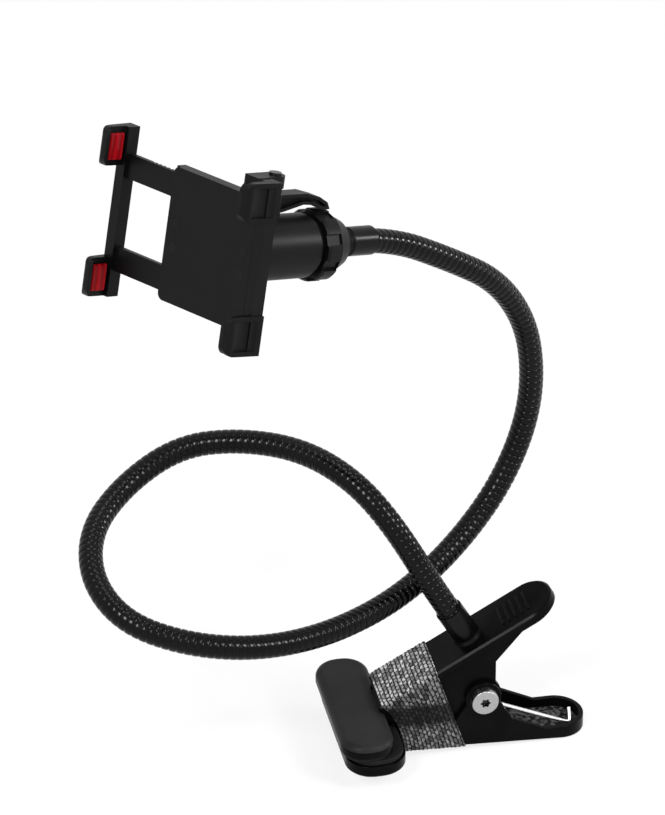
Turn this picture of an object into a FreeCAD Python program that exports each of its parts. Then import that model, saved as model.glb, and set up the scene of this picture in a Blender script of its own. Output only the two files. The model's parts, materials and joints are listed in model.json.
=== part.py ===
"""Bed phone holder: a sprung clamp, a bendable ribbed arm, a ball joint with a lock ring and a phone clip.

Millimetres. +X runs from the clamp's jaws to its handles, +Z is up and the pivot screw lies along Y.
The origin is in the middle of the closed grip. The clip has a frame of its own: x to the clip's
right, y backwards along the ball joint and z up the clip.
"""
import FreeCAD, Part
import math
import os

Vec = FreeCAD.Vector
AXIS_X = Vec(1, 0, 0)
AXIS_Y = Vec(0, 1, 0)
AXIS_Z = Vec(0, 0, 1)

# Clearances
running_gap = 0.05
nest_gap = 0.3
seat_gap = 0.1
slide_gap = 0.15

# Clamp paddles and their rubber faces
jaw_gap = 0.2
pad_thick = 2.1
pad_inset = 1.0
paddle_span = 67.0
upper_paddle_depth = 22.0
lower_paddle_depth = 25.0
upper_paddle_front = -10.5
lower_paddle_setback = 2.3
upper_paddle_thick = 5.3
lower_paddle_thick = 5.6
upper_paddle_corner = 10.0
lower_paddle_corner = 11.0
paddle_edge = 1.2
paddle_crown = 3.2

# Clamp levers
lever_width = 23.0
lever_wall = 2.0
plate_thick = 3.0
plate_height = 6.1
plate_start = 10.2
plate_edge = 0.8
wall_toe = 0.8
wall_toe_back = 3.5
wall_toe_rise = 3.0
upper_slope = 30.0
upper_length = 94.0
grip_tray_length = 31.0
grip_tray_depth = 4.2
grip_wall_back = 14.0
grip_ridge_count = 5
grip_ridge_pitch = 3.0
grip_ridge_radius = 0.6
grip_ridge_length = 12.0
grip_ridge_back = 11.5
ear_back = 5.5
lower_slope = 3.4
lower_length = 96.5
lower_floor = 1.2
lower_rim = 5.9
lower_drop = 10.0
lower_start = 6.0
wall_lap = 1.8
wall_rise_short = 0.4
handle_slope_start = 12.0
handle_slope_end = 26.0
handle_shoulder = 11.8

# Pivot screw and torsion spring
pivot_x = 52.0
pivot_z = 9.5
screw_radius = 3.0
screw_head_radius = 5.7
screw_head_thick = 3.6
screw_recess_radius = 1.8
screw_recess_depth = 1.6
screw_edge = 0.9
upper_ear_radius = 8.0
lower_ear_radius = 7.4
nut_radius = 5.0
nut_thick = 3.2
wire = 1.7
coil_turns = 7
leg_tip_gap = 4.1
roof_leg_reach = 22.0
hook_length = 6.7
coil_play = 0.15

# Elastic band round both levers
band_thick = 1.0
band_gap = 0.15
band_top_from = 9.2
band_top_to = 32.0
band_bottom_from = 19.2
band_bottom_to = 44.8
band_waist_x = 17.6
band_waist_z = -2.0
band_corner = 1.6

# Arm
arm_radius = 5.0
arm_sides = 12
arm_foot = 55.0
base_ferrule_radius = 5.7
base_ferrule_length = 16.0
base_flange_radius = 6.3
base_flange_thick = 1.6
arm_socket_floor = 7.0
end_ferrule_radius = 5.9
end_ferrule_length = 12.6
end_socket_floor = 4.0
ferrule_edge = 0.6
arm_screw_radius = 1.5
arm_screw_head_radius = 3.2
arm_screw_head_thick = 1.8
arm_screw_grip = 5.0
arm_lead = 20.0
bend_share = 0.45
arm_points = [
    (18, 8, 87), (5, 24, 100), (-12, 44, 104), (-35, 58, 103), (-59, 64, 99), (-83, 56, 89),
    (-101, 36, 82), (-105, 12, 74), (-95, -7, 65), (-72, -17, 58), (-45, -19, 53), (-17, -12, 50),
    (11, 3, 49), (34, 18, 53), (54, 32, 62), (71, 43, 77), (82, 48, 100), (85, 48, 125),
    (81, 46, 152), (67, 38, 178), (46, 29, 196),
]

# Ball joint
ball_centre = Vec(-15, 3, 227)
head_yaw = -63.3
head_tilt = -17.6
head_roll = -8.9
ball_radius = 8.5
ball_facets = 12
neck_radius = 4.0
neck_length = 16.0
stud_radius = 2.5
stud_length = 3.6
ball_back = 37.0

# Ball housing and lock ring
housing_radius = 12.9
housing_length = 31.0
nose_radius = 11.3
nose_short = 1.0
seat_radius = 9.3
seat_floor = 2.0
ring_radius = 14.5
ring_root = 13.0
ring_gap = 1.2
ring_band = 7.5
ring_back = 10.0
ring_back_radius = 9.6
ring_mouth_radius = 8.4
ring_lip_back = 4.2
ring_lugs = 8
lug_notch_width = 4.4
lug_notch_depth = 1.6

# Phone clip
clip_right = 15.9
clip_left = -40.0
phone_width = 81.5
finger_wall = 2.8
finger_reach = 16.5
finger_lip = 1.8
finger_hook = 5.0
finger_height = 16.0
finger_spread = 53.5
finger_middle = -3.6
finger_nose = 3.0
finger_flare = 1.0
finger_hollow = 1.0
finger_rim = 2.0
finger_corner = 4.0
bar_width = 5.0
guide_thick = 4.2
guide_half_height = 27.0
face_thick = 1.4
rail_thick = 2.2
rail_height = 10.0
rail_middle = 19.0
rail_inner_end = -18.0
rail_travel = 26.0
rail_stop_room = 0.6
tooth_pitch = 2.5
tooth_depth = 0.8
finger_pad_thick = 1.6
finger_pad_height = 11.0
finger_pad_depth = 7.0
finger_pad_edge = 0.8
face_screw_radius = 1.2
face_screw_head = 2.2
face_screw_length = 5.0

# Release lever
lever_pin_x = 0.0
lever_pin_back = 11.0
lever_pin_radius = 1.5
lever_knuckle = 4.0
lever_low = 15.0
lever_high = 22.0
lever_reach = 39.0
lever_thick = 7.0
lever_web = 2.6
lever_rim = 1.3
pawl_offset = 14.0
tab_thick = 5.0
tab_gap = 2.6
spring_wire = 0.8
spring_play = 0.1


def sketch(points):
    """A flat face from its corner points in order."""
    return Part.Face(Part.makePolygon(list(points) + [points[0]]))


def side_view(points, y_from, y_to):
    """A solid from an outline in X and Z, between two places along Y."""
    face = sketch([Vec(x, y_from, z) for x, z in points])
    return face.extrude(Vec(0, y_to - y_from, 0))


def plan_view(points, z_from, z_to):
    """A solid from an outline in X and Y, between two heights."""
    face = sketch([Vec(x, y, z_from) for x, y in points])
    return face.extrude(Vec(0, 0, z_to - z_from))


def block(low, high):
    """A box between two corners."""
    return Part.makeBox(high[0] - low[0], high[1] - low[1], high[2] - low[2], Vec(*low))


def rounded_plate(x_from, x_to, half_span, z_from, z_to, corner):
    """A flat plate with round corners in plan."""
    plate = block((x_from, -half_span, z_from), (x_to, half_span, z_to))
    upright = [edge for edge in plate.Edges if abs(edge.tangentAt(edge.FirstParameter).z) > 0.9]
    return plate.makeFillet(corner, upright)


def edges_at_height(shape, height):
    """The edges that lie flat at one height."""
    found = []
    for edge in shape.Edges:
        box = edge.BoundBox
        if abs(box.ZMin - height) < 0.01 and abs(box.ZMax - height) < 0.01:
            found.append(edge)
    return found


def round_ended(x_from, x_to, half_width, z_from, z_to):
    """A strip with one half-round end at its high X."""
    middle = x_to - half_width
    lines = [
        Part.LineSegment(Vec(middle, half_width, z_from), Vec(x_from, half_width, z_from)),
        Part.LineSegment(Vec(x_from, half_width, z_from), Vec(x_from, -half_width, z_from)),
        Part.LineSegment(Vec(x_from, -half_width, z_from), Vec(middle, -half_width, z_from)),
        Part.Arc(Vec(middle, -half_width, z_from), Vec(x_to, 0, z_from), Vec(middle, half_width, z_from)),
    ]
    face = Part.Face(Part.Wire([line.toShape() for line in lines]))
    return face.extrude(Vec(0, 0, z_to - z_from))


def pin(radius, start, direction, length):
    """A round pin from a start point along a direction."""
    return Part.makeCylinder(radius, length, start, direction)


def turned(points):
    """A solid of revolution about y, from points of radius and place along y."""
    face = sketch([Vec(radius, along, 0) for radius, along in points])
    return face.revolve(Vec(0, 0, 0), AXIS_Y, 360)


def bent_path(points):
    """Straight runs joined by tangent arcs as large as the runs allow, with the arcs' radii."""
    edges = []
    radii = []
    last = points[0]
    for before, corner, after in zip(points, points[1:], points[2:]):
        inward = (corner - before).normalize()
        outward = (after - corner).normalize()
        half_turn = inward.getAngle(outward) / 2
        reach = bend_share * min((corner - before).Length, (after - corner).Length)
        radius = reach / math.tan(half_turn)
        middle = corner + (outward - inward).normalize() * (radius / math.cos(half_turn) - radius)
        start = corner - inward * reach
        end = corner + outward * reach
        edges.append(Part.LineSegment(last, start).toShape())
        edges.append(Part.Arc(start, middle, end).toShape())
        radii.append(radius)
        last = end
    edges.append(Part.LineSegment(last, points[-1]).toShape())
    return Part.Wire(edges), radii


def tube_along(wire_path, radius, sides):
    """A many-sided rod along a path of lines and arcs: pieces that meet face to face, made one."""
    edges = wire_path.OrderedEdges
    first = edges[0]
    place = FreeCAD.Placement(first.valueAt(first.FirstParameter),
                              FreeCAD.Rotation(AXIS_Z, first.tangentAt(first.FirstParameter)))
    corners = []
    for index in range(sides):
        turn = 2 * math.pi * index / sides
        corners.append(place.multVec(Vec(radius * math.cos(turn), radius * math.sin(turn), 0)))
    section = sketch(corners)
    pieces = []
    for edge in edges:
        moved = section.copy()
        if isinstance(edge.Curve, Part.Circle):
            turn = math.degrees(edge.LastParameter - edge.FirstParameter)
            pieces.append(section.revolve(edge.Curve.Center, edge.Curve.Axis, turn))
            moved.rotate(edge.Curve.Center, edge.Curve.Axis, turn)
        else:
            step = edge.tangentAt(edge.FirstParameter) * edge.Length
            pieces.append(section.extrude(step))
            moved.translate(step)
        section = moved
    return pieces[0].multiFuse(pieces[1:]), section.Area


def faceted_ball(radius, along, facets):
    """A ball on the y axis, turned from a many-sided outline whose corners lie on the radius."""
    points = []
    for index in range(facets + 1):
        turn = math.pi * index / facets
        points.append((radius * math.sin(turn), along - radius * math.cos(turn)))
    points[0] = (0, along - radius)
    points[-1] = (0, along + radius)
    return turned(points)


# Heights that follow from the stack of the closed jaws
pad_face = jaw_gap / 2
paddle_seat = pad_face + pad_thick
upper_top = paddle_seat + upper_paddle_thick
lower_base = -(paddle_seat + lower_paddle_thick)
upper_paddle_back = upper_paddle_front + upper_paddle_depth
lower_paddle_front = upper_paddle_front + lower_paddle_setback
lower_paddle_back = lower_paddle_front + lower_paddle_depth
grip_tray_start = upper_length - grip_tray_length
grip_wall_end = upper_length - grip_wall_back
half_width = lever_width / 2
upper_wall_outer = half_width - lever_wall - nest_gap
upper_wall_inner = upper_wall_outer - lever_wall
pivot = Vec(pivot_x, 0, pivot_z)
upper_place = FreeCAD.Placement(Vec(0, 0, plate_height), FreeCAD.Rotation(AXIS_Y, -upper_slope))
upper_normal = upper_place.Rotation.multVec(AXIS_Z)


def on_upper(along, across=0.0, height=0.0):
    """A point on the upper lever, from its own length, width and height."""
    return upper_place.multVec(Vec(along, across, height))


def lower_under(x):
    """Height of the lower lever's underside."""
    return -lower_drop - x * math.tan(math.radians(lower_slope))


def pivot_bore():
    """The hole that the pivot screw turns in, right through both levers."""
    length = 2 * lever_width
    return pin(screw_radius + running_gap, Vec(pivot_x, -lever_width, pivot_z), AXIS_Y, length)


def ear_point(radius, angle):
    """A point on an ear's round edge, as x and z."""
    turn = math.radians(angle)
    return pivot_x + radius * math.cos(turn), pivot_z + radius * math.sin(turn)


def upper_side_wall(y_from, y_to):
    """One side wall of the upper lever, from the paddle past the pivot's ear to the grip."""
    tray = on_upper(grip_wall_end, 0, -grip_tray_depth)
    tray_top = on_upper(grip_wall_end, 0, -plate_thick / 2)
    front_top = on_upper(plate_start, 0, -plate_thick / 2)
    ear_angle = math.degrees(math.acos(ear_back / upper_ear_radius))
    ear_low = pivot_z - upper_ear_radius
    wall_front = upper_paddle_back + wall_toe
    points = [
        (front_top.x, front_top.z), (tray_top.x, tray_top.z), (tray.x, tray.z),
        (pivot_x + ear_back, pivot_z + 2 * upper_ear_radius), ear_point(upper_ear_radius, ear_angle),
        (pivot_x, pivot_z), (pivot_x, ear_low), (wall_front, ear_low),
        (wall_front - wall_toe_back, ear_low + wall_toe_rise),
    ]
    wall = side_view(points, y_from, y_to)
    ear = pin(upper_ear_radius, Vec(pivot_x, y_from, pivot_z), AXIS_Y, y_to - y_from)
    return wall.fuse(ear)


def make_upper_lever():
    """Upper paddle, sloping top plate, grip tray with ridges and two side walls, moulded as one."""
    plate = round_ended(plate_start, upper_length, half_width, -plate_thick, 0)
    rim = [edge for edge in edges_at_height(plate, 0) if edge.BoundBox.XLength > 1]
    plate = plate.makeChamfer(plate_edge, rim)
    tray = round_ended(grip_tray_start, upper_length, half_width, -grip_tray_depth, -plate_thick / 2)
    hollow_half = half_width - lever_wall
    hollow_end = upper_length - lever_wall
    hollow = round_ended(0, hollow_end, hollow_half, -2 * grip_tray_depth, -plate_thick)
    lever = plate.fuse(tray.cut(hollow))
    for index in range(grip_ridge_count):
        along = upper_length - grip_ridge_back - index * grip_ridge_pitch
        start = Vec(along, -grip_ridge_length / 2, -grip_ridge_radius * 0.25)
        lever = lever.fuse(pin(grip_ridge_radius, start, AXIS_Y, grip_ridge_length))
    screw_hole = pin(arm_screw_radius + running_gap, Vec(arm_foot, 0, -2 * plate_thick), AXIS_Z, 3 * plate_thick)
    lever = lever.cut(screw_hole)
    lever.Placement = upper_place
    paddle = rounded_plate(upper_paddle_front, upper_paddle_back, paddle_span / 2,
                           paddle_seat, upper_top, upper_paddle_corner)
    paddle = paddle.makeFillet(paddle_crown, edges_at_height(paddle, upper_top))
    lever = lever.fuse(paddle)
    lever = lever.fuse(upper_side_wall(-upper_wall_outer, -upper_wall_inner))
    lever = lever.fuse(upper_side_wall(upper_wall_inner, upper_wall_outer))
    return lever.cut(pivot_bore()).removeSplitter()


def make_lower_lever():
    """Lower paddle and an open channel with ears at the pivot and a low rim round the grip."""
    channel_start = lower_paddle_back + wall_lap
    rim = lower_under(lower_length) + lower_rim
    slope_foot = (pivot_x + handle_slope_start, pivot_z - handle_shoulder)
    slope_end = (pivot_x + handle_slope_end, rim + wall_rise_short)
    wall_top = -pad_face - wall_rise_short
    lap = -paddle_seat - wall_lap
    overrun = lower_length + lever_wall
    points = [
        (lower_start, lower_under(lower_start)), (overrun, lower_under(overrun)), (overrun, rim),
        slope_end, slope_foot, ear_point(lower_ear_radius, -20), ear_point(lower_ear_radius, 45),
        ear_point(lower_ear_radius, 135), ear_point(lower_ear_radius, 200),
        (pivot_x - handle_slope_start, wall_top), (channel_start, wall_top),
        (channel_start - pad_thick - wall_rise_short, lap), (lower_start, lap),
    ]
    wall = side_view(points, -half_width, half_width)
    wall = wall.fuse(pin(lower_ear_radius, Vec(pivot_x, -half_width, pivot_z), AXIS_Y, lever_width))
    wall = wall.common(round_ended(0, lower_length, half_width, -2 * lever_width, 2 * lever_width))
    floor = [(channel_start, lower_under(channel_start) + lower_floor),
             (lower_length, lower_under(lower_length) + lower_floor),
             (lower_length, lever_width), (channel_start, lever_width)]
    inside = side_view(floor, -half_width, half_width)
    inner_half = half_width - lever_wall
    inside = inside.common(round_ended(0, lower_length - lever_wall, inner_half, -lever_width, 2 * lever_width))
    paddle = rounded_plate(lower_paddle_front, lower_paddle_back, paddle_span / 2,
                           lower_base, -paddle_seat, lower_paddle_corner)
    paddle = paddle.makeChamfer(paddle_edge, edges_at_height(paddle, lower_base))
    lever = wall.cut(inside).fuse(paddle)
    return lever.cut(pivot_bore()).removeSplitter()


def make_jaw_pad(x_from, x_to, z_from, z_to, corner):
    """Rubber face of one paddle."""
    return rounded_plate(x_from + pad_inset, x_to - pad_inset, paddle_span / 2 - pad_inset,
                         z_from, z_to, corner - pad_inset)


def make_pivot_screw():
    """Pan-headed pivot screw with a recess, from the near ear to the nut."""
    seat = -half_width - running_gap
    top = seat - screw_head_thick
    end = half_width + running_gap + nut_thick
    screw = turned([
        (0, top + screw_recess_depth), (screw_recess_radius, top + screw_recess_depth), (screw_recess_radius, top),
        (screw_head_radius - screw_edge, top), (screw_head_radius, top + screw_edge), (screw_head_radius, seat),
        (screw_radius, seat), (screw_radius, end), (0, end),
    ])
    screw.Placement = FreeCAD.Placement(pivot, FreeCAD.Rotation())
    return screw


def make_pivot_nut():
    """Hexagon nut on the far end of the pivot screw."""
    corners = []
    for index in range(6):
        turn = math.radians(60 * index + 30)
        corners.append((pivot_x + nut_radius * math.cos(turn), pivot_z + nut_radius * math.sin(turn)))
    nut_face = half_width + running_gap
    nut = side_view(corners, nut_face, nut_face + nut_thick)
    return nut.cut(pin(screw_radius, Vec(pivot_x, 0, pivot_z), AXIS_Y, 2 * lever_width))


coil_radius = screw_radius + running_gap + coil_play + wire / 2
leg_lift = 0.75 * wire


def spring_leg(target, across, side, hook_way):
    """A straight leg tangent to the coil, with a hook across the lever at its end."""
    reach = target - pivot
    bearing = math.atan2(reach.z, reach.x) + side * math.acos(coil_radius / reach.Length)
    start = pivot + Vec(coil_radius * math.cos(bearing), across, coil_radius * math.sin(bearing))
    end = Vec(target.x, across, target.z)
    leg = pin(wire / 2, start, end - start, (end - start).Length + wire / 2)
    hook = pin(wire / 2, end, hook_way, hook_length)
    return leg.fuse(hook)


def make_torsion_spring():
    """Close-wound coil round the screw, one leg on each lever."""
    half_coil = coil_turns * wire / 2
    points = [(coil_radius - wire / 2, -half_coil), (coil_radius, -half_coil)]
    for index in range(coil_turns):
        low = -half_coil + index * wire
        points.append((coil_radius + wire / 2, low + wire / 2))
        points.append((coil_radius + 0.15 * wire, low + wire))
    points.append((coil_radius - wire / 2, half_coil))
    coil = turned(points)
    coil.Placement = FreeCAD.Placement(pivot, FreeCAD.Rotation())
    across = half_coil - wire / 2
    floor_x = lower_length - lever_wall - leg_tip_gap
    floor_z = lower_under(floor_x) + lower_floor + leg_lift + seat_gap
    lower = spring_leg(Vec(floor_x, 0, floor_z), -across, -1, AXIS_Y + AXIS_Z)
    roof = on_upper(arm_foot + roof_leg_reach, 0, -plate_thick - leg_lift - seat_gap)
    upper = spring_leg(roof, across, 1, AXIS_Y * -1)
    return coil.fuse([lower, upper]).removeSplitter()


def make_elastic_band():
    """Knitted sleeve stretched round both levers behind the paddles."""
    rise = math.tan(math.radians(upper_slope))
    normal_rise = 1 / math.cos(math.radians(upper_slope))

    def outline(spread, overrun):
        corners = []
        for x in (band_top_from - overrun, band_top_to + overrun):
            corners.append((x, plate_height + rise * x + spread * normal_rise))
        for x in (band_bottom_to + overrun, band_bottom_from - overrun):
            corners.append((x, lower_under(x) - spread))
        corners.append((band_waist_x - overrun, band_waist_z))
        return corners

    outer_half = half_width + band_gap + band_thick
    outer = side_view(outline(band_gap + band_thick, 0), -outer_half, outer_half)
    long_edges = [edge for edge in outer.Edges if edge.BoundBox.YLength < 0.01 and edge.BoundBox.XLength > 15]
    outer = outer.makeFillet(band_corner, long_edges)
    inner_half = half_width + band_gap
    return outer.cut(side_view(outline(band_gap, lever_width / 2), -inner_half, inner_half))


arm_base_point = on_upper(arm_foot)
head_turn = (FreeCAD.Rotation(AXIS_Z, head_yaw)
             * FreeCAD.Rotation(AXIS_X, head_tilt)
             * FreeCAD.Rotation(AXIS_Y, head_roll))
head_axis = head_turn.multVec(AXIS_Y)
head_place = FreeCAD.Placement(ball_centre - head_axis * ball_back, head_turn)
end_ferrule_front = ball_back + neck_length


def make_base_ferrule():
    """Sleeve with a foot flange that stands on the upper lever and holds the arm."""
    sleeve = turned([
        (0, 0), (base_flange_radius, 0), (base_ferrule_radius, base_flange_thick),
        (base_ferrule_radius, base_ferrule_length), (arm_radius + running_gap, base_ferrule_length),
        (arm_radius + running_gap, arm_socket_floor), (0, arm_socket_floor),
    ])
    sleeve = sleeve.cut(pin(arm_screw_radius, Vec(0, -1, 0), AXIS_Y, arm_screw_grip + 1))
    sleeve.Placement = FreeCAD.Placement(arm_base_point, FreeCAD.Rotation(AXIS_Y, upper_normal))
    return sleeve


def make_arm_screw():
    """Screw from under the upper lever's plate into the arm's foot."""
    under = on_upper(arm_foot, 0, -plate_thick)
    head = pin(arm_screw_head_radius, under, upper_normal * -1, arm_screw_head_thick)
    shank = pin(arm_screw_radius, under - upper_normal * 0.5, upper_normal, plate_thick + arm_screw_grip + 0.5)
    return head.fuse(shank)


def make_gooseneck():
    """The bendable arm, a many-sided rod from the foot's socket to the end ferrule's socket."""
    first = arm_base_point + upper_normal * arm_socket_floor
    last = ball_centre + head_axis * (neck_length + end_socket_floor)
    leads = [first + upper_normal * arm_lead, last + head_axis * arm_lead]
    route = [first, leads[0]] + [Vec(*point) for point in arm_points] + [leads[1], last]
    path, radii = bent_path(route)
    arm, section_area = tube_along(path, arm_radius, arm_sides)
    print("arm length", round(path.Length, 1), "tightest bend", round(min(radii), 1))
    print("arm volume against section times length", round(arm.Volume / (section_area * path.Length), 4))
    return arm


def make_end_ferrule():
    """Sleeve on the arm's far end, with a hole for the ball stud."""
    front = end_ferrule_front
    back = front + end_ferrule_length
    floor = front + end_socket_floor
    sleeve = turned([
        (stud_radius, front), (end_ferrule_radius - ferrule_edge, front), (end_ferrule_radius, front + ferrule_edge),
        (end_ferrule_radius, back), (arm_radius + running_gap, back), (arm_radius + running_gap, floor),
        (stud_radius, floor),
    ])
    sleeve.Placement = head_place
    return sleeve


def make_ball_stud():
    """Ball with a flared neck and a stud that goes into the end ferrule."""
    ball = faceted_ball(ball_radius, ball_back, ball_facets)
    neck = turned([
        (0, ball_back), (neck_radius, ball_back + 4), (neck_radius, ball_back + ring_back),
        (end_ferrule_radius - 0.7, end_ferrule_front), (stud_radius, end_ferrule_front),
        (stud_radius, end_ferrule_front + stud_length), (0, end_ferrule_front + stud_length),
    ])
    stud = ball.fuse(neck).removeSplitter()
    stud.Placement = head_place
    return stud


seat_front = ball_back - ball_radius - seat_gap - seat_floor


def make_ball_seat():
    """Plastic cup in the housing's nose that the ball turns in."""
    cup = turned([
        (0, seat_front), (seat_radius, seat_front), (seat_radius, ball_back - nose_short), (0, ball_back - nose_short),
    ])
    cavity_radius = (ball_radius + seat_gap) / math.cos(math.pi / ball_facets / 2)
    cup = cup.cut(faceted_ball(cavity_radius, ball_back, ball_facets))
    cup.Placement = head_place
    return cup


def make_lock_ring():
    """Ring nut with finger lugs that closes the housing over the ball."""
    start = housing_length + ring_gap
    nose_end = ball_back - nose_short
    lip = ball_back + ring_lip_back
    lip_radius = math.sqrt((ball_radius + seat_gap) ** 2 - ring_lip_back ** 2)
    band_end = start + ring_band
    ring = turned([
        (nose_radius + seat_gap, start), (ring_radius - 0.8, start), (ring_radius, start + 0.8),
        (ring_radius, band_end - 0.8), (ring_root, band_end), (ring_back_radius, ball_back + ring_back),
        (ring_mouth_radius, ball_back + ring_back), (lip_radius + 0.05, lip), (ball_radius + 0.6, nose_end + 1.6),
        (nose_radius + seat_gap, nose_end + 0.6),
    ])
    for index in range(ring_lugs):
        notch = block((ring_radius - lug_notch_depth, start - 1, -lug_notch_width / 2),
                      (ring_radius + 1, band_end - 0.4, lug_notch_width / 2))
        notch.rotate(Vec(0, 0, 0), AXIS_Y, 360 * (index + 0.5) / ring_lugs)
        ring = ring.cut(notch)
    ring.Placement = head_place
    return ring


def finger(mirrored):
    """One hooked finger with a rimmed hollow in its outer face, about z zero."""
    inner = clip_right - finger_wall
    tip = clip_right - finger_hook
    front = -finger_reach
    lip = front + finger_lip
    half = finger_height / 2
    shoulder = Vec(clip_right, front + finger_nose, 0)
    brow = Vec(clip_right - finger_nose, front, 0)
    crown = Vec(clip_right - 0.3 * finger_nose, front + 0.3 * finger_nose, 0)
    flare = Vec(clip_right + finger_flare, 0, 0)
    corners = [brow, Vec(tip, front, 0), Vec(tip, lip, 0), Vec(inner, lip, 0), Vec(inner, 0, 0), flare, shoulder]
    edges = [Part.LineSegment(a, b).toShape() for a, b in zip(corners, corners[1:])]
    edges.append(Part.Arc(shoulder, crown, brow).toShape())
    hook = Part.Face(Part.Wire(edges)).extrude(Vec(0, 0, finger_height))
    hook.translate(Vec(0, 0, -half))
    guard = block((tip - finger_lip, front, -half), (clip_right + finger_wall, 0, half))
    front_edges = [edge for edge in guard.Edges if edge.BoundBox.YMax < front + 0.01 and edge.BoundBox.XLength > 1]
    hook = hook.common(guard.makeFillet(finger_corner, front_edges))
    hollow_back = Vec(clip_right + finger_flare, -finger_rim, 0)
    deepest = Vec(clip_right - finger_hollow, (front + finger_nose - finger_rim) / 2, 0)
    chord = [Part.Arc(hollow_back, deepest, shoulder).toShape(), Part.LineSegment(shoulder, hollow_back).toShape()]
    hollow = Part.Face(Part.Wire(chord)).extrude(Vec(0, 0, finger_height - 2 * finger_rim))
    hollow.translate(Vec(0, 0, finger_rim - half))
    hook = hook.cut(hollow)
    if mirrored:
        hook = hook.mirror(Vec(clip_middle, 0, 0), AXIS_X)
    return hook


clip_middle = clip_right - finger_wall - finger_pad_thick - phone_width / 2
clip_far_left = 2 * clip_middle - clip_right
phone_back = -guide_thick - face_thick
finger_rows = (finger_middle + finger_spread / 2, finger_middle - finger_spread / 2)
guide_top = finger_middle + guide_half_height
guide_bottom = finger_middle - guide_half_height
rail_front = -guide_thick + slide_gap


def finger_pair(mirrored):
    """Two fingers and the upright bar between them."""
    half_bar = (finger_spread + finger_height) / 2
    x_low = clip_right - bar_width
    x_high = clip_right
    if mirrored:
        x_low, x_high = clip_far_left, clip_far_left + bar_width
    pair = block((x_low, phone_back, finger_middle - half_bar), (x_high, 0, finger_middle + half_bar))
    for height in finger_rows:
        hook = finger(mirrored)
        hook.translate(Vec(0, 0, height))
        pair = pair.fuse(hook)
    return pair


def rail_block(sign, x_from, x_to, spare):
    """The room that one rail takes, with spare play all round."""
    middle = finger_middle + sign * rail_middle
    low = middle - rail_height / 2 - spare
    high = middle + rail_height / 2 + spare
    return block((x_from, rail_front - spare, low), (x_to, rail_front + rail_thick + spare, high))


def face_screw_places():
    """Where the face plate's screws sit, as x and z."""
    places = []
    for x in (clip_left + 5, clip_right - bar_width - 5):
        for z in (-5.0, 5.0):
            places.append((x, finger_middle + z))
    return places


def make_clip_body():
    """Right fingers, rail guide, lever tab and ball housing, moulded as one."""
    body = finger_pair(False)
    guide_right = clip_right - bar_width / 2
    guide = block((clip_left, -guide_thick, guide_bottom), (guide_right, 0, guide_top))
    body = body.fuse(guide)
    housing = turned([
        (0, -guide_thick / 2), (housing_radius, -guide_thick / 2), (housing_radius, housing_length - 2.0),
        (housing_radius - 0.6, housing_length - 0.6), (nose_radius, housing_length),
        (nose_radius, ball_back - nose_short), (seat_radius + running_gap, ball_back - nose_short),
        (seat_radius + running_gap, seat_front - seat_gap), (0, seat_front - seat_gap),
    ])
    body = body.fuse(housing)
    tab_low = lever_high + tab_gap
    tab = block((lever_pin_x - lever_knuckle, -1, tab_low),
                (lever_pin_x + lever_knuckle, lever_pin_back, tab_low + tab_thick))
    tab_end = pin(lever_knuckle, Vec(lever_pin_x, lever_pin_back, tab_low), AXIS_Z, tab_thick)
    rib = block((lever_pin_x - lever_knuckle, -1, guide_top - 2),
                (lever_pin_x + lever_knuckle, 0, tab_low + tab_thick))
    foot = pin(lever_knuckle, Vec(lever_pin_x, lever_pin_back, 0), AXIS_Z, lever_low - seat_gap)
    body = body.fuse([tab, tab_end, rib, foot])
    channel_end = rail_inner_end + rail_travel + rail_stop_room
    for sign in (1, -1):
        body = body.cut(rail_block(sign, clip_left - 1, channel_end, slide_gap))
    slot = block((lever_pin_x - pawl_offset - 5.2, rail_front + rail_thick / 2, lever_low - 0.4),
                 (lever_pin_x - pawl_offset + 2.8, 1, lever_high + 0.4))
    body = body.cut(slot)
    body = body.cut(pin(lever_pin_radius + running_gap, Vec(lever_pin_x, lever_pin_back, 2), AXIS_Z, 50))
    for x, z in face_screw_places():
        body = body.cut(pin(face_screw_radius, Vec(x, -guide_thick - 1, z), AXIS_Y, face_screw_length + 1 - face_thick))
    body.Placement = head_place
    return body.removeSplitter()


def make_face_plate():
    """Plate behind the phone that closes the rail guide."""
    plate = block((clip_left, phone_back, guide_bottom),
                  (clip_right - bar_width - seat_gap, -guide_thick, guide_top))
    upright = [edge for edge in plate.Edges if edge.BoundBox.YLength > 1 and edge.BoundBox.XMax < 0]
    plate = plate.makeFillet(3, upright)
    for x, z in face_screw_places():
        hole = pin(face_screw_radius, Vec(x, phone_back - 1, z), AXIS_Y, face_thick + 2)
        head_room = pin(face_screw_head + running_gap, Vec(x, phone_back - 1, z), AXIS_Y, 1 + face_thick / 2)
        plate = plate.cut(hole.fuse(head_room))
    plate.Placement = head_place
    return plate


def make_face_screws():
    """The face plate's screws, all alike."""
    screws = []
    for x, z in face_screw_places():
        head = pin(face_screw_head, Vec(x, phone_back, z), AXIS_Y, face_thick / 2)
        shank = pin(face_screw_radius, Vec(x, phone_back, z), AXIS_Y, face_screw_length)
        screws.append(head.fuse(shank).removeSplitter())
    group = Part.makeCompound(screws)
    group.Placement = head_place
    return group


def make_slide_jaw():
    """Left fingers on a bar with two rails, the upper one toothed for the release lever."""
    jaw = finger_pair(True)
    for sign in (1, -1):
        jaw = jaw.fuse(rail_block(sign, clip_far_left + bar_width / 2, rail_inner_end, 0))
    rail_back = rail_front + rail_thick
    place = rail_inner_end - 2
    while place > rail_inner_end - rail_travel - 12:
        tooth = plan_view([(place, rail_back + 0.1), (place, rail_back - tooth_depth),
                           (place - 0.8 * tooth_pitch, rail_back + 0.1)], lever_low - 0.2, lever_high - 1.0)
        jaw = jaw.cut(tooth)
        place -= tooth_pitch
    jaw.Placement = head_place
    return jaw.removeSplitter()


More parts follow.
